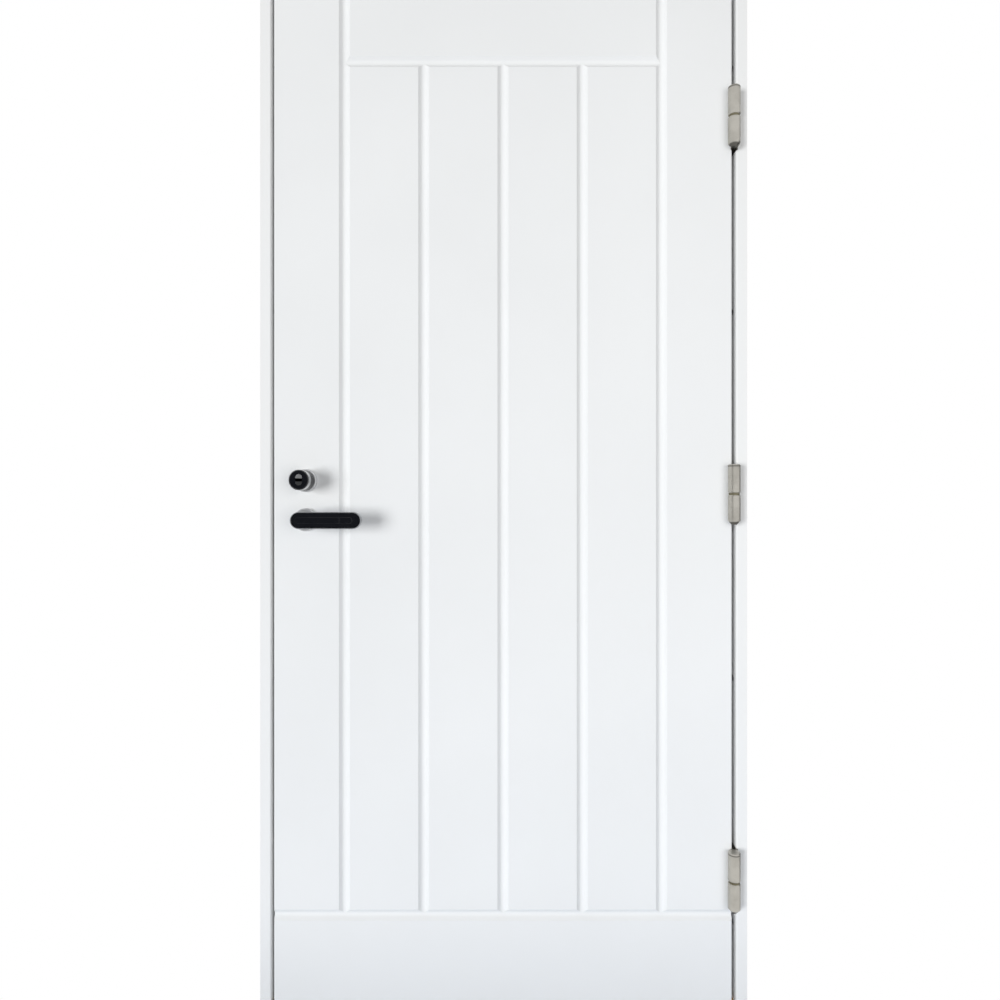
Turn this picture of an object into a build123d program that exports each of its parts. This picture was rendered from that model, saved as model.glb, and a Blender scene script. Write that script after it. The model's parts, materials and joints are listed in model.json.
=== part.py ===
"""White timber fire door with a routed plank pattern, hung in a rebated frame.

Millimetres. +X runs to the right seen from the hinge side of the wall, +Y runs through the wall away
from the viewer and +Z is up. The origin is the middle of the threshold's underside, on the floor.
The leaf is hung on the right, opens towards the viewer and is drawn closed.
"""

import os
from math import atan2, cos, sin, tan

from build123d import *

# Leaf
LEAF_WIDTH = 925
LEAF_HEIGHT = 2040
LEAF_THICKNESS = 62
LOCK_EDGE_BEVEL = 3
FACING_THICKNESS = 9
LIPPING_THICKNESS = 12
LEAF_ARRIS = 3

# Gaps round the closed leaf
LEAF_GAP = 5.5
HINGE_GAP = 8.5
LEAF_BACK_GAP = 6

# Routed pattern of the facings
PLANK_COUNT = 4
PLANK_PITCH = 160
TOP_RAIL = 140
BOTTOM_RAIL = 177
GROOVE_WIDTH = 22
GROOVE_FLOOR = 6
GROOVE_DEPTH = 6
GROOVE_EDGE_RADIUS = 2

# Frame
FRAME_FACE = 22
STOP_WIDTH = 20
FRAME_DEPTH = 115
FRAME_ARRIS = 3
SILL_STEP = 12

# Seal and intumescent strip let into the frame
SEAL_OFFSET = 13
SEAL_STEM = 4
SEAL_GROOVE_DEPTH = 7
SEAL_BULB = 7
SEAL_CLEARANCE = 0.3
STRIP_WIDTH = 15
STRIP_THICKNESS = 2
STRIP_DEPTH = 54

# Frame screws
FIXING_HOLE = 14
FIXING_DEPTH = 24
FIXING_SPANS = (750, 1750)

# Lift-off hinges
TOP_HINGE_END = 259
BOTTOM_HINGE_END = 251
MIDDLE_HINGE_RISE = 6
HINGE_AXIS_SHIFT = 4.5
KNUCKLE_DIAMETER = 24
KNUCKLE_CLEARANCE = 0.75
UPPER_KNUCKLE = 57
LOWER_KNUCKLE = 53
HINGE_TIP = 6
HINGE_BEARING = 4
HINGE_PLAY = 0.3
HINGE_PIN = 12
PIN_LENGTH = 46
PIN_CLEARANCE = 0.05
PIN_HEADROOM = 3
KNUCKLE_CHAMFER = 1.5
PLATE_THICKNESS = 3
PLATE_WIDTH = 32
PLATE_SETBACK = 3

# Lock set in the leaf's edge and the strike in the frame
BACKSET = 65
LEVER_HEIGHT = 975
CYLINDER_OFFSET = 79
FOREND_LENGTH = 235
FOREND_WIDTH = 24
FOREND_THICKNESS = 3
LATCH_HEIGHT = 34
LATCH_THICKNESS = 12
LATCH_LENGTH = 40
LATCH_BEVEL = 7
LATCH_CLEARANCE = 0.3
STRIKE_LENGTH = 180
STRIKE_WIDTH = 28
STRIKE_THICKNESS = 2.5
STRIKE_POCKET = 14
STRIKE_MARGIN = 4

# Lever handles
LEVER_LENGTH = 138
LEVER_WIDTH = 33
LEVER_THICKNESS = 16
LEVER_PROJECTION = 52
LEVER_BACK_RADIUS = 5
LEVER_FRONT_RADIUS = 1
LEVER_RIM = 2
LEVER_POCKET = 3
LEVER_FACE_RECESS = 0.5
LEVER_NECK = 20
LEVER_REVEAL = 1
ROSE_DIAMETER = 46
ROSE_THICKNESS = 8
ROSE_RADIUS = 2.5
NECK_CLEARANCE = 0.2
SPINDLE_SIZE = 8
SPINDLE_SOCKET = 26
SPINDLE_CLEARANCE = 6

# Cylinder knob outside and thumb turn inside
KNOB_DIAMETER = 40
KNOB_PROJECTION = 50
KNOB_REVEAL = 1.5
KNOB_NECK = 20
KNOB_RADIUS = 1.5
KNOB_CAP_DIAMETER = 38
KNOB_CAP_THICKNESS = 4
KNOB_CAP_RADIUS = 1.5
KEY_PLUG_LENGTH = 22
KEY_PLUG_WIDTH = 13
KEY_PLUG_DEPTH = 3
KEY_SLOT_HEIGHT = 6
KEY_SLOT_DEPTH = 2
TURN_LENGTH = 36
TURN_WIDTH = 11
TURN_HEIGHT = 18
TURN_RADIUS = 3
TURN_NECK = 20

# Places that follow from the sizes above
JAMB_THICKNESS = FRAME_FACE + STOP_WIDTH
FRAME_WIDTH = LEAF_WIDTH + LEAF_GAP + HINGE_GAP + 2 * FRAME_FACE
LEAF_BOTTOM = SILL_STEP + LEAF_GAP
LEAF_TOP = LEAF_BOTTOM + LEAF_HEIGHT
FRAME_HEIGHT = LEAF_TOP + LEAF_GAP + FRAME_FACE
REBATE_DEPTH = LEAF_THICKNESS + LEAF_BACK_GAP
HALF_FRAME = FRAME_WIDTH / 2
LEAF_LEFT = FRAME_FACE + LEAF_GAP - HALF_FRAME
LEAF_RIGHT = LEAF_LEFT + LEAF_WIDTH
FRONT_Y = -FRAME_DEPTH / 2
LEAF_BACK_Y = FRONT_Y + LEAF_THICKNESS
LEAF_MID_Y = FRONT_Y + LEAF_THICKNESS / 2
SILL_TOP = SILL_STEP + STOP_WIDTH
HEAD_GROOVE_Z = LEAF_TOP - TOP_RAIL
SILL_GROOVE_Z = LEAF_BOTTOM + BOTTOM_RAIL
KNUCKLE_RADIUS = KNUCKLE_DIAMETER / 2
HINGE_X = LEAF_RIGHT + HINGE_GAP / 2 - HINGE_AXIS_SHIFT
HINGE_Y = FRONT_Y - KNUCKLE_RADIUS - KNUCKLE_CLEARANCE
HINGE_LENGTH = HINGE_TIP + LOWER_KNUCKLE + HINGE_BEARING + HINGE_PLAY + UPPER_KNUCKLE
HINGE_CENTRES = {
    "top": LEAF_TOP - TOP_HINGE_END,
    "middle": (LEAF_TOP + LEAF_BOTTOM) / 2 + MIDDLE_HINGE_RISE,
    "bottom": LEAF_BOTTOM + BOTTOM_HINGE_END,
}
LOCK_X = LEAF_LEFT + BACKSET
LEVER_Z = LEAF_BOTTOM + LEVER_HEIGHT
CYLINDER_Z = LEVER_Z + CYLINDER_OFFSET
FOREND_Z = (LEVER_Z + CYLINDER_Z) / 2
SPINDLE_BORE = SPINDLE_SIZE * 2**0.5 + SPINDLE_CLEARANCE

# The plane midway through the leaf, which turns outside furniture into inside furniture
LEAF_MIDDLE = Plane(origin=(0, LEAF_MID_Y, 0), x_dir=(1, 0, 0), z_dir=(0, 1, 0))


def slab(x0, x1, y0, y1, z0, z1):
    """A plain block between two corners."""
    centre = Pos((x0 + x1) / 2, (y0 + y1) / 2, (z0 + z1) / 2)
    return centre * Box(x1 - x0, y1 - y0, z1 - z0)


def front_plane(x, z, projection=0):
    """A plane parallel to the leaf's front, out of which +Z of a sketch grows towards the viewer."""
    return Plane(origin=(x, FRONT_Y - projection, z), x_dir=(1, 0, 0), z_dir=(0, -1, 0))


# Frame sections are drawn in the XY plane: x runs from the wall face to the opening and y from the
# frame's front face to its back face, so that one section serves both jambs and the head.


def board_section():
    """Frame board with a groove for its intumescent strip and an eased front arris."""
    outline = Pos(FRAME_FACE / 2, FRAME_DEPTH / 2) * Rectangle(FRAME_FACE, FRAME_DEPTH)
    front_arris = outline.vertices().sort_by(Axis.Y)[:2].sort_by(Axis.X)[-1]
    return fillet(front_arris, FRAME_ARRIS) - strip_section()


def stop_section():
    """Stop planted on the board behind the leaf, with a groove for its seal."""
    stop_depth = FRAME_DEPTH - REBATE_DEPTH
    middle = Pos(FRAME_FACE + STOP_WIDTH / 2, REBATE_DEPTH + stop_depth / 2)
    outline = middle * Rectangle(STOP_WIDTH, stop_depth)
    inner_arrises = outline.vertices().sort_by(Axis.X)[-2:]
    return fillet(inner_arrises, FRAME_ARRIS) - seal_groove()


def seal_groove():
    middle = Pos(FRAME_FACE + SEAL_OFFSET, REBATE_DEPTH + SEAL_GROOVE_DEPTH / 2)
    return middle * Rectangle(SEAL_STEM, SEAL_GROOVE_DEPTH)


def seal_section():
    """Stem in the groove with a round bulb that the leaf closes against."""
    reach = LEAF_BACK_GAP - SEAL_CLEARANCE
    half = SEAL_BULB / 2
    root = Polyline((half, 0), (half, half - reach))
    crown = ThreePointArc((half, half - reach), (0, -reach), (-half, half - reach))
    side = Polyline((-half, half - reach), (-half, 0), (half, 0))
    bulb = make_face([root, crown, side])
    return seal_groove() + Pos(FRAME_FACE + SEAL_OFFSET, REBATE_DEPTH) * bulb


def strip_section():
    """Intumescent strip, flush with the rebate face."""
    middle = Pos(FRAME_FACE - STRIP_THICKNESS / 2, STRIP_DEPTH)
    return middle * Rectangle(STRIP_THICKNESS, STRIP_WIDTH)


def sill_section():
    """Threshold: a low step under the leaf and a higher stop behind it."""
    outline = make_face(
        Polyline(
            (0, 0),
            (SILL_STEP, 0),
            (SILL_STEP, REBATE_DEPTH),
            (SILL_TOP, REBATE_DEPTH),
            (SILL_TOP, FRAME_DEPTH),
            (0, FRAME_DEPTH),
            close=True,
        )
    )
    nosings = [(SILL_STEP, 0, 0), (SILL_TOP, REBATE_DEPTH, 0), (SILL_TOP, FRAME_DEPTH, 0)]
    rounded = [outline.vertices().sort_by_distance(corner)[0] for corner in nosings]
    return fillet(rounded, FRAME_ARRIS) - Pos(SILL_STEP - FRAME_FACE, 0) * seal_groove()


def as_lock_jamb(section, z0, z1):
    return Pos(-HALF_FRAME, FRONT_Y, z0) * extrude(section, z1 - z0)


def as_hinge_jamb(section, z0, z1):
    return mirror(as_lock_jamb(section, z0, z1), about=Plane.YZ)


def as_head(section, half_length):
    bar = extrude(section, 2 * half_length)
    return Pos(-half_length, FRONT_Y, FRAME_HEIGHT) * Rot(0, 90, 0) * bar


def as_sill(section, half_length):
    bar = extrude(section, 2 * half_length)
    return Pos(half_length, FRONT_Y, 0) * Rot(0, -90, 0) * bar


def fixing_holes(x0, x1):
    """Holes for the frame screws, in a row up one jamb."""
    middle = FRAME_HEIGHT / 2
    heights = [middle + side * span / 2 for span in FIXING_SPANS for side in (-1, 1)]
    hole = Rot(0, 90, 0) * Cylinder(FIXING_HOLE / 2, x1 - x0)
    return [Pos((x0 + x1) / 2, FRONT_Y + FIXING_DEPTH, z) * hole for z in heights]


def plate_recess(x0, x1, z_centre):
    """Mortise for a hinge plate, open to the front."""
    y0 = FRONT_Y
    return slab(x0, x1, y0, y0 + PLATE_WIDTH, z_centre - HINGE_LENGTH / 2, z_centre + HINGE_LENGTH / 2)


def build_frame():
    half_rebate = HALF_FRAME - FRAME_FACE
    lock_jamb = as_lock_jamb(board_section(), 0, FRAME_HEIGHT)
    lock_jamb -= fixing_holes(-HALF_FRAME, -half_rebate)
    lock_jamb -= strike_outline(STRIKE_THICKNESS)
    lock_jamb -= strike_opening(STRIKE_THICKNESS + STRIKE_POCKET)
    hinge_jamb = as_hinge_jamb(board_section(), 0, FRAME_HEIGHT)
    hinge_jamb -= fixing_holes(half_rebate, HALF_FRAME)
    for z_centre in HINGE_CENTRES.values():
        hinge_jamb -= plate_recess(half_rebate, half_rebate + PLATE_THICKNESS, z_centre)
    stop_top = FRAME_HEIGHT - FRAME_FACE
    return {
        "lock_jamb": lock_jamb,
        "hinge_jamb": hinge_jamb,
        "frame_head": as_head(board_section(), half_rebate),
        "threshold": as_sill(sill_section(), half_rebate),
        "lock_jamb_stop": as_lock_jamb(stop_section(), SILL_TOP, stop_top),
        "hinge_jamb_stop": as_hinge_jamb(stop_section(), SILL_TOP, stop_top),
        "head_stop": as_head(stop_section(), half_rebate - STOP_WIDTH),
    }


def build_frame_seals():
    half_clear = HALF_FRAME - JAMB_THICKNESS
    half_rebate = HALF_FRAME - FRAME_FACE
    head_underside = FRAME_HEIGHT - JAMB_THICKNESS
    strip_top = FRAME_HEIGHT - FRAME_FACE
    sill_seal = Pos(SILL_STEP - FRAME_FACE, 0) * seal_section()
    return {
        "lock_jamb_seal": as_lock_jamb(seal_section(), SILL_TOP, head_underside),
        "hinge_jamb_seal": as_hinge_jamb(seal_section(), SILL_TOP, head_underside),
        "head_seal": as_head(seal_section(), half_clear),
        "threshold_seal": as_sill(sill_seal, half_clear),
        "lock_jamb_fire_strip": as_lock_jamb(strip_section(), SILL_STEP, strip_top),
        "hinge_jamb_fire_strip": as_hinge_jamb(strip_section(), SILL_STEP, strip_top),
        "head_fire_strip": as_head(strip_section(), half_rebate),
    }


# Leaf


def leaf_envelope():
    """The whole leaf as one block, its lock edge bevelled so that it clears the jamb as it opens."""
    plan = make_face(
        Polyline(
            (LEAF_LEFT, FRONT_Y),
            (LEAF_RIGHT, FRONT_Y),
            (LEAF_RIGHT, LEAF_BACK_Y),
            (LEAF_LEFT + LOCK_EDGE_BEVEL, LEAF_BACK_Y),
            close=True,
        )
    )
    return Pos(0, 0, LEAF_BOTTOM) * extrude(plan, LEAF_HEIGHT)


def layer(y0, y1):
    return slab(LEAF_LEFT, LEAF_RIGHT, y0, y1, LEAF_BOTTOM, LEAF_TOP)


def groove_section():
    """Cross-section of the router cutter: x across the groove, y into the leaf, with a round floor."""
    half_width = GROOVE_WIDTH / 2
    half_floor = GROOVE_FLOOR / 2
    slope = atan2(GROOVE_DEPTH, half_width - half_floor)
    ease = GROOVE_EDGE_RADIUS * tan(slope / 2)
    along, down = cos(slope), sin(slope)
    brow = (-half_width - ease, 0)
    wall_top = (-half_width + ease * along, ease * down)
    wall_foot = (-half_floor * (1 + along), GROOVE_DEPTH - half_floor * down)
    mouth = Polyline((0, -GROOVE_DEPTH), (brow[0], -GROOVE_DEPTH), brow)
    shoulder = TangentArc(brow, wall_top, tangent=(1, 0))
    wall = Line(wall_top, wall_foot)
    floor = TangentArc(wall_foot, (0, GROOVE_DEPTH), tangent=(along, down))
    half = [mouth, shoulder, wall, floor]
    return make_face(half + [mirror(edge, about=Plane.YZ) for edge in half])


def upright_groove(x, z0, z1):
    return Pos(x, FRONT_Y, z0) * extrude(groove_section(), z1 - z0)


def level_groove(z, x0, x1):
    return Pos(x0, FRONT_Y, z) * Rot(0, 90, 0) * extrude(groove_section(), x1 - x0)


def front_grooves():
    """Two stile grooves run to the leaf's top, the bottom groove runs right across."""
    beyond = GROOVE_WIDTH
    first = (LEAF_LEFT + LEAF_RIGHT - PLANK_COUNT * PLANK_PITCH) / 2
    places = [first + i * PLANK_PITCH for i in range(PLANK_COUNT + 1)]
    grooves = [upright_groove(x, SILL_GROOVE_Z, HEAD_GROOVE_Z) for x in places[1:-1]]
    grooves += [upright_groove(x, SILL_GROOVE_Z, LEAF_TOP + beyond) for x in (places[0], places[-1])]
    grooves.append(level_groove(HEAD_GROOVE_Z, places[0], places[-1]))
    grooves.append(level_groove(SILL_GROOVE_Z, LEAF_LEFT - beyond, LEAF_RIGHT + beyond))
    return grooves


def leaf_hinge_recesses():
    x0 = LEAF_RIGHT - PLATE_THICKNESS
    return [plate_recess(x0, LEAF_RIGHT, z_centre) for z_centre in HINGE_CENTRES.values()]


def spindle_hole():
    return Pos(LOCK_X, LEAF_MID_Y, LEVER_Z) * Rot(90, 0, 0) * Cylinder(SPINDLE_BORE / 2, LEAF_THICKNESS)


def build_leaf():
    envelope = leaf_envelope()
    core_front = FRONT_Y + FACING_THICKNESS
    core_back = LEAF_BACK_Y - FACING_THICKNESS

    front = envelope & layer(FRONT_Y, core_front)
    front = fillet(front.faces().sort_by(Axis.Y)[0].edges(), LEAF_ARRIS)
    front = front - front_grooves() - leaf_hinge_recesses() - spindle_hole()

    back = envelope & layer(core_back, LEAF_BACK_Y)
    back = fillet(back.faces().sort_by(Axis.Y)[-1].edges(), LEAF_ARRIS)
    back = back - [mirror(groove, about=LEAF_MIDDLE) for groove in front_grooves()] - spindle_hole()

    middle = envelope & layer(core_front, core_back)
    lock_x = LEAF_LEFT + LOCK_EDGE_BEVEL + LIPPING_THICKNESS
    hinge_x = LEAF_RIGHT - LIPPING_THICKNESS
    low_z = LEAF_BOTTOM + LIPPING_THICKNESS
    high_z = LEAF_TOP - LIPPING_THICKNESS
    lock_side = slab(LEAF_LEFT, lock_x, core_front, core_back, LEAF_BOTTOM, LEAF_TOP)
    hinge_side = slab(hinge_x, LEAF_RIGHT, core_front, core_back, LEAF_BOTTOM, LEAF_TOP)
    lock_mortises = [forend_outline(), latch_outline(LATCH_CLEARANCE)]
    core = slab(lock_x, hinge_x, core_front, core_back, low_z, high_z)
    return {
        "front_facing": front,
        "back_facing": back,
        "leaf_core": core - lock_mortises - spindle_hole(),
        "lock_edge_lipping": (middle & lock_side) - lock_mortises,
        "hinge_edge_lipping": (middle & hinge_side) - leaf_hinge_recesses(),
        "top_edge_lipping": slab(lock_x, hinge_x, core_front, core_back, high_z, LEAF_TOP),
        "bottom_edge_lipping": slab(lock_x, hinge_x, core_front, core_back, LEAF_BOTTOM, low_z),
    }


# Hinges


def knuckle(z0, z1):
    barrel = Pos(HINGE_X, HINGE_Y, (z0 + z1) / 2) * Cylinder(KNUCKLE_RADIUS, z1 - z0)
    return chamfer(barrel.edges().filter_by(GeomType.CIRCLE), KNUCKLE_CHAMFER)


def hinge_plate(x0, x1, z_centre, knuckle_z0, knuckle_z1):
    """Plate in its mortise, with a wing at knuckle height that runs forward into the barrel."""
    y0 = FRONT_Y + PLATE_SETBACK
    half = HINGE_LENGTH / 2
    plate = slab(x0, x1, y0, FRONT_Y + PLATE_WIDTH, z_centre - half, z_centre + half)
    return plate + slab(x0, x1, HINGE_Y, y0, knuckle_z0, knuckle_z1)


def build_hinge(name, z_centre):
    """A lift-off hinge: the frame half carries the pin, the leaf half drops over it."""
    bottom = z_centre - HINGE_LENGTH / 2
    lower_z0 = bottom + HINGE_TIP
    lower_z1 = lower_z0 + LOWER_KNUCKLE
    bearing_z1 = lower_z1 + HINGE_BEARING
    upper_z0 = bearing_z1 + HINGE_PLAY
    upper_z1 = upper_z0 + UPPER_KNUCKLE
    axis = Pos(HINGE_X, HINGE_Y, 0)
    frame_x = LEAF_RIGHT + HINGE_GAP

    tip_root = KNUCKLE_RADIUS - KNUCKLE_CHAMFER
    tip = Pos(0, 0, bottom + HINGE_TIP / 2) * Rot(180, 0, 0) * Cone(tip_root, tip_root / 2, HINGE_TIP)
    pin = Pos(0, 0, lower_z1 + PIN_LENGTH / 2) * Cylinder(HINGE_PIN / 2, PIN_LENGTH)
    frame_half = knuckle(lower_z0, lower_z1) + axis * tip + axis * pin
    frame_half += hinge_plate(frame_x, frame_x + PLATE_THICKNESS, z_centre, lower_z0, lower_z1)

    bore_radius = HINGE_PIN / 2 + PIN_CLEARANCE
    bore_length = PIN_LENGTH - HINGE_BEARING - HINGE_PLAY + PIN_HEADROOM
    bore = Pos(0, 0, upper_z0 + bore_length / 2) * Cylinder(bore_radius, bore_length)
    leaf_half = knuckle(upper_z0, upper_z1)
    leaf_half += hinge_plate(LEAF_RIGHT - PLATE_THICKNESS, LEAF_RIGHT, z_centre, upper_z0, upper_z1)
    leaf_half -= axis * bore

    ring = Cylinder(KNUCKLE_RADIUS - KNUCKLE_CHAMFER, HINGE_BEARING) - Cylinder(bore_radius, HINGE_BEARING)
    return {
        f"{name}_hinge_frame_half": frame_half,
        f"{name}_hinge_leaf_half": leaf_half,
        f"{name}_hinge_bearing": axis * Pos(0, 0, (lower_z1 + bearing_z1) / 2) * ring,
    }


# Lock and strike


def lock_edge_plane():
    """The bevelled lock edge midway through the leaf: sketch x runs up, sketch z points out."""
    middle = Vector(LEAF_LEFT + LOCK_EDGE_BEVEL / 2, LEAF_MID_Y, FOREND_Z)
    outward = Vector(-LEAF_THICKNESS, LOCK_EDGE_BEVEL, 0)
    return Plane(origin=middle, x_dir=(0, 0, 1), z_dir=outward)


def forend_outline():
    return extrude(lock_edge_plane() * SlotOverall(FOREND_LENGTH, FOREND_WIDTH), -FOREND_THICKNESS)


def latch_outline(clearance=0):
    section = Rectangle(LATCH_HEIGHT + 2 * clearance, LATCH_THICKNESS + 2 * clearance)
    return extrude(lock_edge_plane() * section, -LATCH_LENGTH - clearance)


def latch_nose_cut():
    """Bevel on the side of the latch that meets the strike first as the leaf closes."""
    side = LATCH_THICKNESS / 2
    wedge = make_face(Polyline((side, 0), (side, -LATCH_BEVEL), (-side, 0), close=True))
    nose = extrude(wedge, LATCH_HEIGHT / 2, both=True)
    edge = lock_edge_plane()
    across = Plane(origin=edge.origin, x_dir=edge.z_dir.cross(edge.x_dir), z_dir=-edge.x_dir)
    return across * nose


def strike_outline(depth):
    """Rounded block set into the lock jamb's rebate face, at the height of the latch."""
    face = Plane(origin=(FRAME_FACE - HALF_FRAME, LEAF_MID_Y, FOREND_Z), x_dir=(0, 0, 1), z_dir=(1, 0, 0))
    return extrude(face * RectangleRounded(STRIKE_LENGTH, STRIKE_WIDTH, FRAME_ARRIS), -depth)


def strike_opening(depth):
    height = LATCH_HEIGHT + 2 * STRIKE_MARGIN
    width = LATCH_THICKNESS + STRIKE_MARGIN
    x1 = FRAME_FACE - HALF_FRAME
    y0, y1 = LEAF_MID_Y - width / 2, LEAF_MID_Y + width / 2
    return slab(x1 - depth, x1, y0, y1, FOREND_Z - height / 2, FOREND_Z + height / 2)


def build_lock():
    return {
        "lock_forend": forend_outline() - latch_outline(LATCH_CLEARANCE),
        "latch_bolt": latch_outline() - latch_nose_cut(),
        "strike_plate": strike_outline(STRIKE_THICKNESS) - strike_opening(STRIKE_THICKNESS),
    }


# Lever handles


def rose(x, z, bore):
    """Round cover plate on the leaf's front, its outer edge rounded over."""
    disc = extrude(front_plane(x, z) * Circle(ROSE_DIAMETER / 2), ROSE_THICKNESS)
    disc = fillet(disc.edges().group_by(Axis.Y)[0], ROSE_RADIUS)
    return disc - extrude(front_plane(x, z) * Circle(bore / 2 + NECK_CLEARANCE), ROSE_THICKNESS)


def pill(length, width, projection, thickness):
    """A bar with round ends over the spindle, measured back from its front face."""
    shift = (LEVER_LENGTH - LEVER_WIDTH) / 2
    outline = Pos(shift, 0) * SlotOverall(length, width)
    return extrude(front_plane(LOCK_X, LEVER_Z, projection) * outline, -thickness)


def lever():
    """Solid lever on a round neck that turns in the rose and takes the square spindle."""
    grip = pill(LEVER_LENGTH, LEVER_WIDTH, LEVER_PROJECTION, LEVER_THICKNESS)
    grip = fillet(grip.edges().group_by(Axis.Y)[-1], LEVER_BACK_RADIUS)
    grip = fillet(grip.edges().group_by(Axis.Y)[0], LEVER_FRONT_RADIUS)
    neck_end = LEVER_PROJECTION - LEVER_THICKNESS
    neck = extrude(front_plane(LOCK_X, LEVER_Z, LEVER_REVEAL) * Circle(LEVER_NECK / 2), neck_end)
    socket = Rectangle(SPINDLE_SIZE, SPINDLE_SIZE)
    socket = extrude(front_plane(LOCK_X, LEVER_Z, LEVER_REVEAL) * socket, SPINDLE_SOCKET)
    return grip + neck - socket


def build_levers():
    face_length = LEVER_LENGTH - 2 * LEVER_RIM
    face_width = LEVER_WIDTH - 2 * LEVER_RIM
    pocket = pill(face_length, face_width, LEVER_PROJECTION, LEVER_POCKET)
    face_thickness = LEVER_POCKET - LEVER_FACE_RECESS
    face = pill(face_length, face_width, LEVER_PROJECTION - LEVER_FACE_RECESS, face_thickness)
    half_spindle = LEAF_THICKNESS / 2 + LEVER_REVEAL + SPINDLE_SOCKET
    spindle = Box(SPINDLE_SIZE, 2 * half_spindle, SPINDLE_SIZE)
    outer_rose = rose(LOCK_X, LEVER_Z, LEVER_NECK)
    return {
        "outer_lever": lever() - pocket,
        "outer_lever_face": face,
        "inner_lever": mirror(lever(), about=LEAF_MIDDLE),
        "lever_spindle": Pos(LOCK_X, LEAF_MID_Y, LEVER_Z) * spindle,
        "outer_lever_rose": outer_rose,
        "inner_lever_rose": mirror(outer_rose, about=LEAF_MIDDLE),
    }


# Cylinder knob and thumb turn


def round_bar(diameter, from_projection, to_projection):
    """A round bar on the cylinder's axis, between two distances out of the leaf's front."""
    start = front_plane(LOCK_X, CYLINDER_Z, from_projection)
    return extrude(start * Circle(diameter / 2), to_projection - from_projection)


def build_knob():
    """Turning knob of metal with a dark cap let into its end, round a key plug."""
    knob_base = ROSE_THICKNESS + KNOB_REVEAL
    cap_base = KNOB_PROJECTION - KNOB_CAP_THICKNESS
    barrel = round_bar(KNOB_DIAMETER, knob_base, KNOB_PROJECTION - KNOB_RADIUS)
    barrel = fillet(barrel.edges().group_by(Axis.Y)[-1], KNOB_RADIUS)
    cap = round_bar(KNOB_CAP_DIAMETER, cap_base, KNOB_PROJECTION)
    cap = fillet(cap.edges().group_by(Axis.Y)[0], KNOB_CAP_RADIUS)
    plug_base = KNOB_PROJECTION - KEY_PLUG_DEPTH
    plug = SlotOverall(KEY_PLUG_LENGTH, KEY_PLUG_WIDTH, rotation=90)
    plug = extrude(front_plane(LOCK_X, CYLINDER_Z, plug_base) * plug, KEY_PLUG_DEPTH)
    slot = Rectangle(KEY_PLUG_WIDTH, KEY_SLOT_HEIGHT)
    slot = extrude(front_plane(LOCK_X, CYLINDER_Z, KNOB_PROJECTION) * slot, -KEY_SLOT_DEPTH)
    neck = round_bar(KNOB_NECK, KNOB_REVEAL, knob_base)
    return {
        "cylinder_rose": rose(LOCK_X, CYLINDER_Z, KNOB_NECK),
        "knob_barrel": barrel + neck - round_bar(KNOB_CAP_DIAMETER, cap_base, KNOB_PROJECTION),
        "knob_cap": cap - plug,
        "key_plug": plug - slot,
    }


def build_thumb_turn():
    """Inside turn piece, drawn on the front and mirrored through the leaf."""
    turn_base = ROSE_THICKNESS + KNOB_REVEAL
    wing = front_plane(LOCK_X, CYLINDER_Z, turn_base) * SlotOverall(TURN_LENGTH, TURN_WIDTH, rotation=90)
    wing = extrude(wing, TURN_HEIGHT)
    wing = fillet(wing.edges().group_by(Axis.Y)[0], TURN_RADIUS)
    turn = wing + round_bar(TURN_NECK, KNOB_REVEAL, turn_base)
    turn_rose = rose(LOCK_X, CYLINDER_Z, TURN_NECK)
    return {
        "thumb_turn_rose": mirror(turn_rose, about=LEAF_MIDDLE),
        "thumb_turn": mirror(turn, about=LEAF_MIDDLE),
    }


def build_door():
    nodes = build_frame() | build_frame_seals() | build_leaf()
    for name, z_centre in HINGE_CENTRES.items():
        nodes |= build_hinge(name, z_centre)
    return nodes | build_lock() | build_levers() | build_knob() | build_thumb_turn()


os.makedirs("parts", exist_ok=True)
for node, shape in build_door().items():
    export_step(shape, f"parts/{node}.step")
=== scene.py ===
# %% [markdown]
# # Dressing a painted fire door
# The workshop model of the door is finished: frame, leaf, hinges and lock furniture stand where they belong.
# What it lacks is its surface. In this lesson we load that model, give each material the finish of the real
# one, add the small screws and sleeves that a joiner would fit, and set the door before a camera in a pale
# studio.

# %% Load the workshop model
import json
from math import pi, radians

import bmesh
import bpy
from mathutils import Matrix, Vector


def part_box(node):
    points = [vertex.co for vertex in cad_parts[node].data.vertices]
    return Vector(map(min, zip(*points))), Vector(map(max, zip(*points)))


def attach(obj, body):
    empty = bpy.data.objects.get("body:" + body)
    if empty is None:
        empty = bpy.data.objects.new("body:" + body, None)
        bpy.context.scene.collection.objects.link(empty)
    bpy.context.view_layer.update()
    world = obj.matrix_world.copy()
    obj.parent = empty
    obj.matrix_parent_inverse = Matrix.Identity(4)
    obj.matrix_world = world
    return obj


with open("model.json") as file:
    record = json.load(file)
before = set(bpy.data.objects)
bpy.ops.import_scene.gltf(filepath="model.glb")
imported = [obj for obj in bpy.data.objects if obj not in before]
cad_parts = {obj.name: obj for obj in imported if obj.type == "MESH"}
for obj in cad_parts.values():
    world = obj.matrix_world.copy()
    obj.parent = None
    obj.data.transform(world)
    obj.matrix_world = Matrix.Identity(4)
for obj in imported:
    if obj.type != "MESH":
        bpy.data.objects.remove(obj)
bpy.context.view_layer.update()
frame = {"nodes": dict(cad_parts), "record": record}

MM = 0.001
leaf_low, leaf_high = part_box("front_facing")
leaf_mid_x = (leaf_low.x + leaf_high.x) / 2
print(len(frame["nodes"]), "pieces, leaf", round((leaf_high.x - leaf_low.x) / MM), "mm wide")

# %% [markdown]
# ## Colours, nodes and masks
# Paint charts give colours as sRGB hex values, while the renderer works in linear light. One function turns
# the first into the second, so every colour below can be read like a paint chart.

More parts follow.
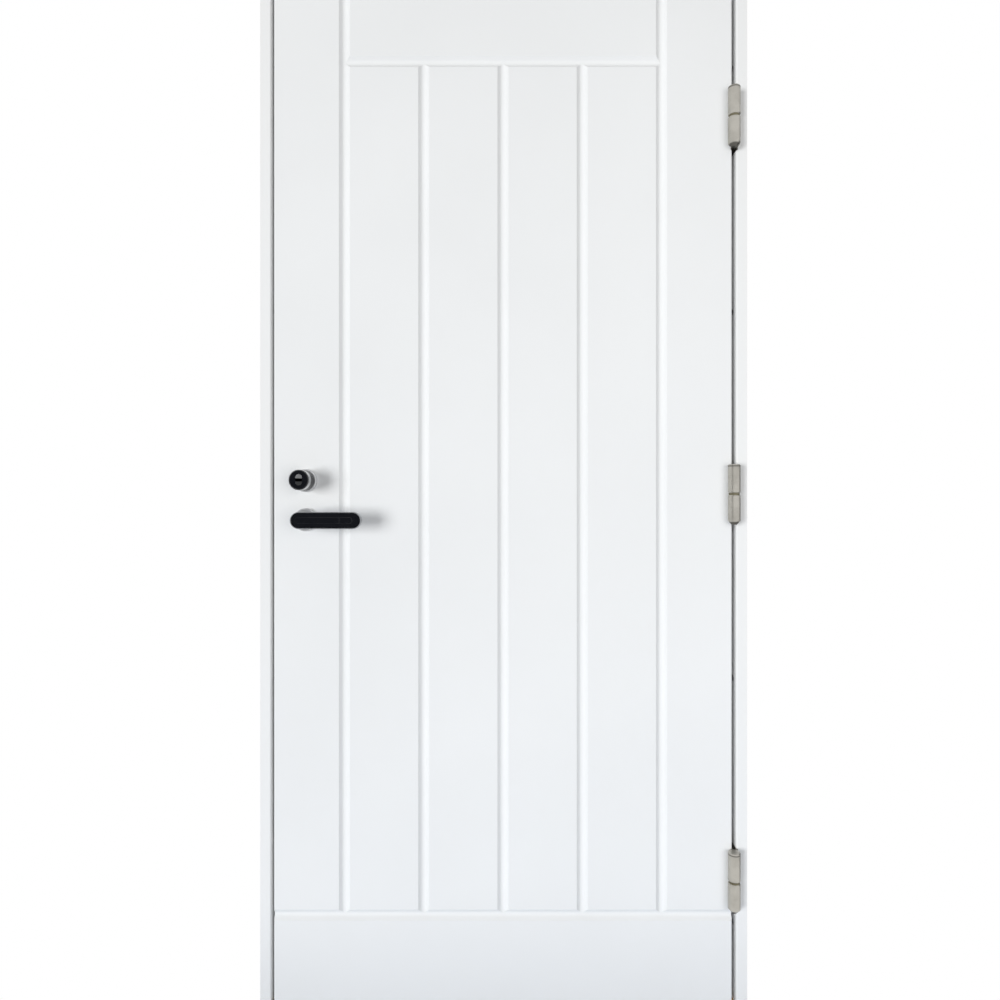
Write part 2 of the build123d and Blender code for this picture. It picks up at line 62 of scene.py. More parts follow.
# %% Colour from a paint chart
def colour(hex_value):
    """Linear RGBA from an sRGB value such as #F0F0F0."""
    shares = [int(hex_value[i:i + 2], 16) / 255 for i in (1, 3, 5)]
    linear = [s / 12.92 if s <= 0.04045 else ((s + 0.055) / 1.055) ** 2.4 for s in shares]
    return (*linear, 1.0)


print("mid grey is", round(colour("#808080")[0], 3), "in linear light")

# %% [markdown]
# A material is a small network. Adding a node by hand takes three kinds of line: make it, set it, wire it.
# The helper below does all three: a socket takes a number, a colour, or another node to be wired from.

# %% Add a node and wire it
def wire(tree, node, inputs):
    """Set a node's sockets, or link them from other nodes."""
    for name, value in inputs.items():
        if isinstance(name, int):
            socket = node.inputs[name]
        else:
            socket = next(s for s in node.inputs if s.enabled and s.name == name)
        if isinstance(value, bpy.types.Node):
            value = next(s for s in value.outputs if s.enabled)
        if isinstance(value, bpy.types.NodeSocket):
            tree.links.new(value, socket)
        else:
            socket.default_value = value
    return node


def add_node(tree, kind, inputs, **settings):
    """Make one shader node with its settings and its links."""
    node = tree.nodes.new("ShaderNode" + kind)
    for name, value in settings.items():
        setattr(node, name, value)
    return wire(tree, node, inputs)


def new_finish(name):
    """A fresh material, its tree, its shader, and the object's own coordinates in metres."""
    material = bpy.data.materials.new(name)
    material.use_nodes = True
    tree = material.node_tree
    place = add_node(tree, "TexCoord", {}).outputs["Object"]
    return material, tree, tree.nodes["Principled BSDF"], place


def per_metre(size_mm):
    """Texture scale at which one feature of a noise is about this many millimetres wide."""
    return 1 / (size_mm * MM)


print("a 2 mm grain needs a scale of", round(per_metre(2)))

# %% [markdown]
# Handled things wear on their edges and gather dust in their corners. Two masks find those places. A Bevel
# node bends the normal near an edge, so where it disagrees with the true normal there is an edge. Ambient
# occlusion, limited to the piece itself, finds the corners; the colour laid there is dust and painted shade.

# %% Masks for worn edges, and for dust and painted shade in corners
def worn_edges(tree, place, radius_mm, patch_mm):
    """1 on edges, broken up into patches, and 0 elsewhere."""
    bent = add_node(tree, "Bevel", {"Radius": radius_mm * MM}, samples=4)
    straight = add_node(tree, "NewGeometry", {}).outputs["Normal"]
    agree = add_node(tree, "VectorMath", {0: bent, 1: straight}, operation="DOT_PRODUCT")
    edge = add_node(tree, "MapRange", {"Value": agree, "From Min": 0.99, "From Max": 0.86})
    patches = add_node(tree, "TexNoise", {"Vector": place, "Scale": per_metre(patch_mm), "Detail": 4.0})
    broken = add_node(tree, "MapRange", {"Value": patches, "From Min": 0.42, "From Max": 0.62})
    return add_node(tree, "Math", {0: edge, 1: broken}, operation="MULTIPLY")


def corner_dust_and_shade(tree, reach_mm):
    """1 deep in a corner, falling to 0 on open surfaces: the mask for corner dirt and painted shade."""
    # Occlusion finds where shade falls; colour laid on it is painted shade as well as dust.
    open_sky = add_node(tree, "AmbientOcclusion", {"Distance": reach_mm * MM}, samples=4, only_local=True)
    return add_node(tree, "MapRange", {"Value": open_sky.outputs["AO"], "From Min": 0.85, "From Max": 0.25})


print("masks ready")

# %% [markdown]
# ## The painted leaf
# The leaf is MDF, sprayed white in a factory and baked to a satin. Sprayed paint isn't a mirror: it has a
# fine orange peel, and its tone drifts a little over a metre. Both come from noises of different sizes. On
# the real door the peel is about 1.5 mm across; it is drawn a little coarser so that it shows.

# %% Sprayed satin paint
def sprayed_paint(name, body_tone, drift_tone, dust_and_shade_tone):
    """Acrylic paint on MDF: even white, soft sheen, slight peel, grooves dusty and painted with shade, rubbed
    arrises.
    """
    material, tree, shader, place = new_finish(name)
    clouds = add_node(tree, "TexNoise", {"Vector": place, "Scale": per_metre(420), "Detail": 3.0})
    drift = add_node(tree, "MapRange", {"Value": clouds, "From Min": 0.35, "From Max": 0.65})
    tone = add_node(
        tree, "Mix", {"Factor": drift, "A": colour(body_tone), "B": colour(drift_tone)}, data_type="RGBA"
    )
    # Dust and painted shade in the grooves, from the occlusion mask.
    dust_and_shade = add_node(tree, "Math", {0: corner_dust_and_shade(tree, 9), 1: 0.3}, operation="MULTIPLY")
    dusted_and_shaded = add_node(tree, "Mix", {"Factor": dust_and_shade, "A": tone, "B": colour(dust_and_shade_tone)}, data_type="RGBA")
    rubbed = add_node(tree, "Math", {0: worn_edges(tree, place, 1.5, 30), 1: 0.3}, operation="MULTIPLY")
    final = add_node(tree, "Mix", {"Factor": rubbed, "A": dusted_and_shaded, "B": colour("#DEDCD6")}, data_type="RGBA")
    patches = add_node(tree, "TexNoise", {"Vector": place, "Scale": per_metre(70), "Detail": 4.0})
    sheen = add_node(tree, "MapRange", {"Value": patches, "To Min": 0.36, "To Max": 0.52})
    peel = add_node(tree, "TexNoise", {"Vector": place, "Scale": per_metre(3.2), "Detail": 2.0})
    bump = add_node(tree, "Bump", {"Height": peel, "Strength": 0.12, "Distance": 0.1 * MM})
    wire(tree, shader, {"Base Color": final, "Roughness": sheen, "Normal": bump, "IOR": 1.49})
    return material


leaf_paint = sprayed_paint("satin_acrylic_paint_on_mdf", "#F1F2F2", "#EEEFEF", "#CDCECF")
print("made", leaf_paint.name)

# %% [markdown]
# ## The painted frame
# The frame is pine. Under the same paint its long grain still shows as faint ridges along each board. A noise
# that is stretched along the board gives them, so the uprights and the head need their own direction.

# %% Painted pine with its grain showing through
def painted_pine(name, along):
    """Acrylic paint on planed pine: white, satin, with grain ridges that run along the board."""
    material, tree, shader, place = new_finish(name)
    stretch = Vector((1, 1, 1))
    stretch[along] = 0.02
    board = add_node(tree, "Mapping", {"Vector": place, "Scale": stretch})
    grain = add_node(
        tree, "TexNoise", {"Vector": board, "Scale": per_metre(5), "Detail": 5.0, "Distortion": 0.4}
    )
    clouds = add_node(tree, "TexNoise", {"Vector": place, "Scale": per_metre(300), "Detail": 3.0})
    tone = add_node(
        tree, "Mix", {"Factor": clouds, "A": colour("#EFF0F0"), "B": colour("#F2F2F1")}, data_type="RGBA"
    )
    # Dust and painted shade in the corners, from the occlusion mask.
    dust_and_shade = add_node(tree, "Math", {0: corner_dust_and_shade(tree, 12), 1: 0.4}, operation="MULTIPLY")
    dusted_and_shaded = add_node(tree, "Mix", {"Factor": dust_and_shade, "A": tone, "B": colour("#C9C8C4")}, data_type="RGBA")
    rubbed = add_node(tree, "Math", {0: worn_edges(tree, place, 2, 40), 1: 0.3}, operation="MULTIPLY")
    final = add_node(tree, "Mix", {"Factor": rubbed, "A": dusted_and_shaded, "B": colour("#DEDBD2")}, data_type="RGBA")
    sheen = add_node(tree, "MapRange", {"Value": grain, "To Min": 0.38, "To Max": 0.55})
    bump = add_node(tree, "Bump", {"Height": grain, "Strength": 0.15, "Distance": 0.2 * MM})
    wire(tree, shader, {"Base Color": final, "Roughness": sheen, "Normal": bump, "IOR": 1.49})
    return material


upright_paint = painted_pine("satin_acrylic_paint_on_upright_pine", 2)
level_paint = painted_pine("satin_acrylic_paint_on_level_pine", 0)
print("made", upright_paint.name, "and", level_paint.name)

# %% [markdown]
# ## The oak threshold
# Oak is ring porous: broad pale bands of growth with fine dark pores along the grain. Two stretched noises
# give both. Feet polish the lacquer away on the crown, which the edge mask lightens.

# %% Lacquered oak
def lacquered_oak():
    """Quarter-sawn oak under worn clear lacquer: warm bands, dark open pores, a low gloss."""
    material, tree, shader, place = new_finish("lacquered_oak")
    plank = add_node(tree, "Mapping", {"Vector": place, "Scale": (0.04, 1, 1)})
    bands = add_node(
        tree, "TexNoise", {"Vector": plank, "Scale": per_metre(9), "Detail": 4.0, "Distortion": 1.2}
    )
    band_share = add_node(tree, "MapRange", {"Value": bands, "From Min": 0.3, "From Max": 0.7})
    wood = add_node(
        tree, "Mix", {"Factor": band_share, "A": colour("#8E683E"), "B": colour("#BD9360")}, data_type="RGBA"
    )
    pores = add_node(tree, "TexNoise", {"Vector": plank, "Scale": per_metre(0.9), "Detail": 2.0})
    pore_share = add_node(tree, "MapRange", {"Value": pores, "From Min": 0.62, "From Max": 0.72})
    pored = add_node(
        tree, "Mix", {"Factor": pore_share, "A": wood, "B": colour("#5D4023")}, data_type="RGBA"
    )
    trodden = worn_edges(tree, place, 3, 60)
    final = add_node(tree, "Mix", {"Factor": trodden, "A": pored, "B": colour("#CBA878")}, data_type="RGBA")
    gloss = add_node(tree, "MapRange", {"Value": pores, "To Min": 0.3, "To Max": 0.55})
    sunk = add_node(tree, "Bump", {"Height": pore_share, "Strength": 0.5, "Distance": -0.15 * MM})
    wire(tree, shader, {"Base Color": final, "Roughness": gloss, "Normal": sunk, "IOR": 1.5})
    return material


oak = lacquered_oak()
print("made", oak.name)

# %% [markdown]
# ## Seals and fire strips
# The seals are extruded rubber, pale grey to go with the paint. The fire strips hold graphite flakes that
# swell in heat; where the carrier is thin the flakes glint. Cells of a Voronoi texture stand for flakes.

# %% Rubber and graphite
def extruded_rubber():
    """Pale synthetic rubber: dull, faintly streaked by the die along its length, dusty and painted with shade
    in its corners.
    """
    material, tree, shader, place = new_finish("extruded_rubber")
    specks = add_node(tree, "TexNoise", {"Vector": place, "Scale": per_metre(2.5), "Detail": 4.0})
    tone = add_node(
        tree, "Mix", {"Factor": specks, "A": colour("#D2D2CE"), "B": colour("#E2E2DF")}, data_type="RGBA"
    )
    # Dust and painted shade in the corners, from the occlusion mask.
    dusted_and_shaded = add_node(
        tree, "Mix", {"Factor": corner_dust_and_shade(tree, 4), "A": tone, "B": colour("#A7A59F")}, data_type="RGBA"
    )
    dull = add_node(tree, "MapRange", {"Value": specks, "To Min": 0.6, "To Max": 0.8})
    bump = add_node(tree, "Bump", {"Height": specks, "Strength": 0.2, "Distance": 0.1 * MM})
    wire(tree, shader, {"Base Color": dusted_and_shaded, "Roughness": dull, "Normal": bump, "IOR": 1.52})
    return material


def graphite_strip():
    """Graphite flakes in a dark binder: matt charcoal with flakes of about 1 mm that catch the light."""
    material, tree, shader, place = new_finish("graphite_strip")
    flakes = add_node(tree, "TexVoronoi", {"Vector": place, "Scale": per_metre(1.1)})
    bright = add_node(tree, "SeparateColor", {"Color": flakes.outputs["Color"]})
    share = add_node(tree, "MapRange", {"Value": bright, "From Min": 0.6, "From Max": 1.0})
    tone = add_node(
        tree, "Mix", {"Factor": share, "A": colour("#29292A"), "B": colour("#565656")}, data_type="RGBA"
    )
    dull = add_node(tree, "MapRange", {"Value": share, "To Min": 0.85, "To Max": 0.5})
    bump = add_node(tree, "Bump", {"Height": bright, "Strength": 0.3, "Distance": 0.1 * MM})
    wire(tree, shader, {"Base Color": tone, "Roughness": dull, "Normal": bump, "IOR": 1.6})
    return material


rubber, graphite = extruded_rubber(), graphite_strip()
print("made", rubber.name, "and", graphite.name)

# %% [markdown]
# ## Plated and brushed metal
# All the ironmongery is metal with a brushed or tumbled skin, and differs in colour and in the way the brush
# went. So one recipe takes the tone, the grain's direction and its size. The brush leaves scratches of about
# 0.1 mm; they are drawn 0.6 mm wide and up so that they show. Edges are polished by hands.

# %% Brushed metal
def brushed_metal(name, tone, smudge_tone, brush, rough, scratch_mm=0.6):
    """Metal with a brushed skin: fine streaks along one direction, soft smudges, brighter edges."""
    material, tree, shader, place = new_finish(name)
    lay = add_node(tree, "Mapping", {"Vector": place, "Scale": brush})
    streaks = add_node(tree, "TexNoise", {"Vector": lay, "Scale": per_metre(scratch_mm), "Detail": 3.0})
    smudges = add_node(tree, "TexNoise", {"Vector": place, "Scale": per_metre(24), "Detail": 5.0})
    touched = add_node(tree, "MapRange", {"Value": smudges, "From Min": 0.4, "From Max": 0.75})
    skin = add_node(
        tree, "Mix", {"Factor": touched, "A": colour(tone), "B": colour(smudge_tone)}, data_type="RGBA"
    )
    # Grime and painted shade in the corners, from the occlusion mask.
    grimed_and_shaded = add_node(
        tree, "Mix", {"Factor": corner_dust_and_shade(tree, 3), "A": skin, "B": colour("#6B675F")}, data_type="RGBA"
    )
    polished = worn_edges(tree, place, 0.6, 18)
    final = add_node(tree, "Mix", {"Factor": polished, "A": grimed_and_shaded, "B": colour("#DAD9D5")}, data_type="RGBA")
    streaked = add_node(tree, "MapRange", {"Value": streaks, "To Min": rough - 0.08, "To Max": rough + 0.08})
    smeared = add_node(tree, "Math", {0: touched, 1: 0.08}, operation="MULTIPLY")
    gloss = add_node(tree, "Math", {0: streaked, 1: smeared}, operation="ADD")
    bump = add_node(tree, "Bump", {"Height": streaks, "Strength": 0.12, "Distance": 0.05 * MM})
    wire(tree, shader, {"Base Color": final, "Roughness": gloss, "Normal": bump, "Metallic": 1.0})
    return material


round_the_barrel, up_and_down, along_the_lever = (0.05, 0.05, 1), (1, 1, 0.03), (0.03, 1, 1)
nickel = brushed_metal("satin_nickel_on_steel", "#BCB9B1", "#ABA8A0", round_the_barrel, 0.38)
stainless = brushed_metal("brushed_stainless_steel", "#B4B4B2", "#A6A6A5", up_and_down, 0.33)
chrome = brushed_metal("satin_chrome_on_zinc_alloy", "#A4A6AA", "#96989C", along_the_lever, 0.28)
satin = brushed_metal("satin_chrome_on_roses", "#CFD0D2", "#C3C4C6", (0.05, 1, 0.05), 0.5)
zinc = brushed_metal("bright_zinc_on_steel", "#B9BABB", "#A9A89F", (1, 1, 1), 0.36)
bronze = brushed_metal("sintered_bronze", "#7F7A66", "#6C6654", (1, 1, 1), 0.48)
print("made six metals")

# %% [markdown]
# The lower tip and the seam of the top cap of each hinge are painted dark, as painted shade. That differs
# from hinge to hinge only in height. So the nickel is copied, and one more layer goes over its colour: a band
# between two heights, read from the object's own Z axis.

# %% Nickel with a band of painted shade
def shade_painted_nickel(name, band_low, band_high):
    """Nickel with a band of painted shade between two heights."""
    material = nickel.copy()
    material.name = name
    tree = material.node_tree
    shader = tree.nodes["Principled BSDF"]
    skin = shader.inputs["Base Color"].links[0].from_socket
    place = add_node(tree, "TexCoord", {}).outputs["Object"]
    height = add_node(tree, "SeparateXYZ", {"Vector": place}).outputs["Z"]
    soft = 1 * MM
    above = add_node(
        tree, "MapRange", {"Value": height, "From Min": band_low - soft, "From Max": band_low + soft}
    )
    below = add_node(
        tree, "MapRange", {"Value": height, "From Min": band_high + soft, "From Max": band_high - soft}
    )
    band = add_node(tree, "Math", {0: above, 1: below}, operation="MULTIPLY")
    shade_share = add_node(tree, "Math", {0: band, 1: 0.8}, operation="MULTIPLY")
    # Painted shade: a dark band over the nickel between the two heights.
    shade_painted = add_node(tree, "Mix", {"Factor": shade_share, "A": skin, "B": colour("#2E2C28")}, data_type="RGBA")
    wire(tree, shader, {"Base Color": shade_painted})
    return material


HINGE_NAMES = ("top", "middle", "bottom")
finish_of_piece = {}
for place_name in HINGE_NAMES:
    low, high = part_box(f"{place_name}_hinge_frame_half")
    tip = shade_painted_nickel(f"shade_painted_nickel_{place_name}_tip", low.z - 5 * MM, low.z + 5.5 * MM)
    finish_of_piece[f"{place_name}_hinge_frame_half"] = tip
    low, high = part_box(f"{place_name}_hinge_leaf_half")
    cap = shade_painted_nickel(f"shade_painted_nickel_{place_name}_cap", high.z - 4.5 * MM, high.z - 2.5 * MM)
    finish_of_piece[f"{place_name}_hinge_leaf_half"] = cap
print("shade_painted", len(finish_of_piece), "hinge halves")

# %% [markdown]
# ## The knob's two-tone barrel
# The knob's barrel is coloured bright over its front end and dark behind it. It is one solid, so the colour
# changes with the distance from the front, measured on the object's own Y axis.

# %% Steel coloured bright in front and dark behind
RING_LENGTH = 14 * MM
RING_BLEND = 0.5 * MM


def ringed_steel():
    """Bright steel colour in front, dark colour behind, with fine tool rings round both."""
    material, tree, shader, place = new_finish("steel_bright_in_front_dark_behind")
    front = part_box("knob_barrel")[0].y
    depth = add_node(tree, "SeparateXYZ", {"Vector": place}).outputs["Y"]
    ring_end = front + RING_LENGTH
    behind = add_node(
        tree, "MapRange", {"Value": depth, "From Min": ring_end - RING_BLEND, "From Max": ring_end + RING_BLEND}
    )
    lay = add_node(tree, "Mapping", {"Vector": place, "Scale": (0.05, 1, 0.05)})
    rings = add_node(tree, "TexNoise", {"Vector": lay, "Scale": per_metre(0.7), "Detail": 2.0})
    bright = add_node(
        tree, "Mix", {"Factor": rings, "A": colour("#BDBEC0"), "B": colour("#D6D7D8")}, data_type="RGBA"
    )
    dark = add_node(
        tree, "Mix", {"Factor": rings, "A": colour("#1E2023"), "B": colour("#2E3033")}, data_type="RGBA"
    )
    # Dark colour on the barrel from RING_LENGTH behind its front back to its rear.
    tone = add_node(tree, "Mix", {"Factor": behind, "A": bright, "B": dark}, data_type="RGBA")
    gloss = add_node(tree, "MapRange", {"Value": rings, "To Min": 0.22, "To Max": 0.4})
    bump = add_node(tree, "Bump", {"Height": rings, "Strength": 0.15, "Distance": 0.05 * MM})
    wire(tree, shader, {"Base Color": tone, "Roughness": gloss, "Normal": bump, "Metallic": 1.0})
    return material


def keyway_steel():
    """Worn steel face of the key plug, darker below its middle, with painted shade inside the keyway behind it.
    """
    material, tree, shader, place = new_finish("worn_steel_with_keyway")
    low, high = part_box("key_plug")
    axes = add_node(tree, "SeparateXYZ", {"Vector": place}).outputs
    # Painted shade: near black on everything set back behind the plug's face, inside the keyway.
    painted_keyway_shade = add_node(
        tree, "MapRange", {"Value": axes["Y"], "From Min": low.y + 0.2 * MM, "From Max": low.y + 0.6 * MM}
    )
    middle = (low.z + high.z) / 2
    # The plug's face turns darker towards the bottom, below its middle.
    darker_below = add_node(
        tree, "MapRange", {"Value": axes["Z"], "From Min": middle, "From Max": middle - 3 * MM, "To Max": 0.85}
    )
    scuffs = add_node(tree, "TexNoise", {"Vector": place, "Scale": per_metre(1.5), "Detail": 4.0})
    worn = add_node(
        tree, "Mix", {"Factor": scuffs, "A": colour("#B4B5B7"), "B": colour("#D2D3D4")}, data_type="RGBA"
    )
    darkened_below = add_node(tree, "Mix", {"Factor": darker_below, "A": worn, "B": colour("#3C3D3F")}, data_type="RGBA")
    tone = add_node(tree, "Mix", {"Factor": painted_keyway_shade, "A": darkened_below, "B": colour("#070708")}, data_type="RGBA")
    gloss = add_node(tree, "MapRange", {"Value": scuffs, "To Min": 0.3, "To Max": 0.5})
    bump = add_node(tree, "Bump", {"Height": scuffs, "Strength": 0.2, "Distance": 0.05 * MM})
    wire(tree, shader, {"Base Color": tone, "Roughness": gloss, "Normal": bump, "Metallic": 1.0})
    return material


finish_of_piece["knob_barrel"] = ringed_steel()
finish_of_piece["key_plug"] = keyway_steel()
print("made the knob's two steels")

# %% [markdown]
# ## Black cover and hidden board
# The lever's face and the knob's cap are moulded in black plastic and polished. Hands leave a haze, which is
# nothing but a patchy roughness. The board inside the leaf never shows, but it is still wood chips in glue.

# %% Black moulding and chipboard
def polished_plastic():
    """Black polycarbonate: deep, glossy, with a faint haze and hairline scratches from cleaning."""
    material, tree, shader, place = new_finish("polished_black_polycarbonate")
    haze = add_node(tree, "TexNoise", {"Vector": place, "Scale": per_metre(14), "Detail": 5.0})
    lay = add_node(tree, "Mapping", {"Vector": place, "Rotation": (0, 0.3, 0), "Scale": (0.04, 1, 1)})
    hairs = add_node(tree, "TexNoise", {"Vector": lay, "Scale": per_metre(0.8), "Detail": 3.0})
    tone = add_node(
        tree, "Mix", {"Factor": haze, "A": colour("#131418"), "B": colour("#191A1E")}, data_type="RGBA"
    )
    edges = worn_edges(tree, place, 0.8, 12)
    rubbed = add_node(tree, "Mix", {"Factor": edges, "A": tone, "B": colour("#222326")}, data_type="RGBA")
    gloss = add_node(tree, "MapRange", {"Value": haze, "To Min": 0.06, "To Max": 0.2})
    bump = add_node(tree, "Bump", {"Height": hairs, "Strength": 0.05, "Distance": 0.05 * MM})
    wire(tree, shader, {"Base Color": rubbed, "Roughness": gloss, "Normal": bump, "IOR": 1.58})
    return material


def chipboard():
    """Wood chips in resin: a patchwork of tan flakes."""
    material, tree, shader, place = new_finish("chipboard")
    chips = add_node(tree, "TexVoronoi", {"Vector": place, "Scale": per_metre(6)})
    shade = add_node(tree, "SeparateColor", {"Color": chips.outputs["Color"]})
    tone = add_node(
        tree, "Mix", {"Factor": shade, "A": colour("#9A744B"), "B": colour("#CBA97C")}, data_type="RGBA"
    )
    bump = add_node(tree, "Bump", {"Height": shade, "Strength": 0.4, "Distance": 0.3 * MM})
    wire(tree, shader, {"Base Color": tone, "Roughness": 0.85, "Normal": bump})
    return material


black, board = polished_plastic(), chipboard()
print("made", black.name, "and", board.name)

# %% [markdown]
# ## Every workshop piece gets its finish
# The record names a material slot for each piece. A table from slot to finish covers nearly all of them; the
# few pieces whose grain runs the other way, or that have a finish of their own, are named one by one.

# %% Assign the finishes
finish_of_slot = {
    "leaf_paint": leaf_paint, "frame_paint": upright_paint, "core_board": board, "oak": oak,
    "seal_rubber": rubber, "intumescent": graphite, "hinge_nickel": nickel, "bearing_bronze": bronze,
    "lock_steel": stainless, "satin_chrome": chrome, "black_gloss": black,
}
finish_of_piece["frame_head"] = finish_of_piece["head_stop"] = level_paint
for rose in ("outer_lever_rose", "inner_lever_rose", "cylinder_rose", "thumb_turn_rose"):
    finish_of_piece[rose] = satin
for subpart in frame["record"]["subparts"]:
    piece = frame["nodes"][subpart["node"]]
    piece.data.materials.clear()
    piece.data.materials.append(
        finish_of_piece.get(subpart["node"], finish_of_slot[subpart["material_slot"]])
    )

# %% [markdown]
# ## A screw with a star recess
# Hinges, forend and strike are screwed on. One head is modelled and stamped wherever it is needed. It starts
# as a disc, which is extruded and given a rounded rim. The recess is an inset of the top face, pinched into a
# six-pointed star and pushed in.

# %% Model one screw head
def star_screw(radius, height):
    """A low screw head on the XY plane, its star recess facing +Z."""
    head = bmesh.new()
    bmesh.ops.create_circle(head, cap_ends=True, segments=24, radius=radius)
    grown = bmesh.ops.extrude_face_region(head, geom=head.faces[:])
    raised = [v for v in grown["geom"] if isinstance(v, bmesh.types.BMVert)]
    bmesh.ops.translate(head, vec=(0, 0, height), verts=raised)
    rim = [e for e in head.edges if all(v in raised for v in e.verts)]
    bmesh.ops.bevel(
        head, geom=rim, offset=height * 0.45, affect="EDGES", segments=2, profile=0.5, material=-1
    )
    top = max(head.faces, key=lambda f: f.calc_center_median().z)
    bmesh.ops.inset_region(head, faces=[top], thickness=radius * 0.42)
    corners = list(top.verts)
    bmesh.ops.scale(head, vec=(0.7, 0.7, 1), verts=corners[::4])
    bmesh.ops.scale(head, vec=(0.84, 0.84, 1), verts=corners[1::4] + corners[3::4])
    sunk = bmesh.ops.extrude_face_region(head, geom=[top])
    floor = [v for v in sunk["geom"] if isinstance(v, bmesh.types.BMVert)]
    bmesh.ops.translate(head, vec=(0, 0, -height * 0.75), verts=floor)
    return head


print("one head has", len(star_screw(4 * MM, 1 * MM).faces), "faces")

# %% [markdown]
# A stamp copies a template to a list of places. Each place is a point and the direction the piece faces. All
# copies share one mesh whose object stays at the origin, so that patterns on object coordinates don't slide.

# %% Stamp a template, and make a piece of it
def stamp(template, places):
    """Copies of the template's mesh, each at its point and facing its direction."""
    pattern = bpy.data.meshes.new("pattern")
    template.to_mesh(pattern)
    template.free()
    copies = bmesh.new()
    for point, facing in places:
        before = len(copies.verts)
        copies.from_mesh(pattern)
        turned = Vector(facing).to_track_quat("Z", "Y").to_matrix().to_4x4()
        matrix = Matrix.Translation(point) @ turned
        bmesh.ops.transform(copies, matrix=matrix, verts=copies.verts[before:])
    bpy.data.meshes.remove(pattern)
    return copies


def make_piece(name, shape, material, body):
    """Turn a bmesh into an object that rides on a body of the door."""
    bmesh.ops.recalc_face_normals(shape, faces=shape.faces[:])
    mesh = bpy.data.meshes.new(name)
    shape.to_mesh(mesh)
    shape.free()
    mesh.shade_smooth()
    mesh.set_sharp_from_angle(angle=radians(32))
    mesh.materials.append(material)
    piece = bpy.data.objects.new(name, mesh)
    bpy.context.scene.collection.objects.link(piece)
    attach(piece, body)
    print("made", name, "with", len(mesh.polygons), "faces")


# %% [markdown]
# ## Hinge screws
# Each hinge plate holds four screws in a zigzag, so that they don't split the timber along one line of grain.
# The plates of the frame face the leaf, and those of the leaf face the frame.

# %% Screws in the hinge plates
SINK = 0.05 * MM
PLATE_SETBACK = 3 * MM
HINGE_SCREW = (4 * MM, 0.9 * MM)


def plate_places(node, side):
    """Four points in a zigzag on a hinge plate's open face."""
    low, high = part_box(node)
    face = leaf_high.x if side > 0 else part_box("hinge_jamb")[0].x
    middle_z = (low.z + high.z) / 2
    middle_y = (leaf_low.y + PLATE_SETBACK + high.y) / 2
    spots = [(-46, -6), (-16, 6), (16, -6), (46, 6)]
    return [
        (Vector((face - side * SINK, middle_y + across * MM, middle_z + up * MM)), (side, 0, 0))
        for up, across in spots
    ]


leaf_places = [p for n in HINGE_NAMES for p in plate_places(f"{n}_hinge_leaf_half", 1)]
jamb_places = [p for n in HINGE_NAMES for p in plate_places(f"{n}_hinge_frame_half", -1)]
leaf_screws = stamp(star_screw(*HINGE_SCREW), leaf_places)
jamb_screws = stamp(star_screw(*HINGE_SCREW), jamb_places)
make_piece("leaf_hinge_screws", leaf_screws, zinc, "leaf")
make_piece("jamb_hinge_screws", jamb_screws, zinc, "frame")

# %% [markdown]
# ## Lock screws
# The forend is held by a screw near each end. It lies on the leaf's bevelled edge, so its screws face a little
# towards the back. The strike in the jamb has four.

# %% Screws in the forend and the strike
LOCK_SCREW = (3.6 * MM, 0.8 * MM)
END_INSET = 13 * MM
LEAF_THICKNESS, EDGE_BEVEL = 62 * MM, 3 * MM
forend_low, forend_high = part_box("lock_forend")
strike_low, strike_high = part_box("strike_plate")
edge_facing = Vector((-LEAF_THICKNESS, EDGE_BEVEL, 0)).normalized()
forend_mid = Vector((leaf_low.x + EDGE_BEVEL / 2, (forend_low.y + forend_high.y) / 2, 0))
forend_places = [
    (Vector((forend_mid.x, forend_mid.y, z)) - edge_facing * SINK, edge_facing)
    for z in (forend_low.z + END_INSET, forend_high.z - END_INSET)
]
strike_mid = (strike_low + strike_high) / 2
strike_places = [
    (Vector((strike_high.x - SINK, strike_mid.y, strike_mid.z + up * MM)), (1, 0, 0))
    for up in (-78, -40, 40, 78)
]
forend_screws = stamp(star_screw(*LOCK_SCREW), forend_places)
strike_screws = stamp(star_screw(*LOCK_SCREW), strike_places)
make_piece("forend_screws", forend_screws, stainless, "leaf")
make_piece("strike_screws", strike_screws, stainless, "frame")

# %% [markdown]
# ## Adjusting sleeves in the frame
# A frame like this is set plumb with threaded sleeves: the screw runs through the sleeve into the wall. A
# sleeve is a turned part, so it is a small profile spun once round its axis. A star screw sits inside it.

# %% Spin a sleeve and set a screw in it
def threaded_sleeve(screw_radius):
    """A tube with a rounded mouth just below the XY plane, and its screw, both facing +Z."""
    sleeve = star_screw(screw_radius, 1.6 * MM)
    bmesh.ops.translate(sleeve, vec=(0, 0, -7 * MM), verts=sleeve.verts[:])
    profile = [(4, -12), (4, -1.8), (4.6, -1), (6.2, -1), (6.8, -1.6), (6.8, -12)]
    corners = [sleeve.verts.new((r * MM, 0, z * MM)) for r, z in profile]
    outline = [sleeve.edges.new((a, b)) for a, b in zip(corners, corners[1:] + corners[:1])]
    bmesh.ops.spin(
        sleeve, geom=corners + outline, cent=(0, 0, 0), axis=(0, 0, 1), angle=2 * pi, steps=32, use_merge=True
    )
    return sleeve


jamb_low, jamb_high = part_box("hinge_jamb")
sleeve_y = leaf_low.y + 24 * MM
sleeve_heights = [jamb_high.z / 2 + span * MM for span in (-875, -375, 375, 875)]
sleeve_places = [
    (Vector((-side * jamb_low.x, sleeve_y, z)), (side, 0, 0)) for side in (1, -1) for z in sleeve_heights
]
sleeves = stamp(threaded_sleeve(4 * MM), sleeve_places)
make_piece("frame_screw_sleeves", sleeves, zinc, "frame")

# %% [markdown]
# ## Grub screws under the levers
# A lever is pinned to its spindle by a small socket screw in the neck, on the side that nobody looks at.

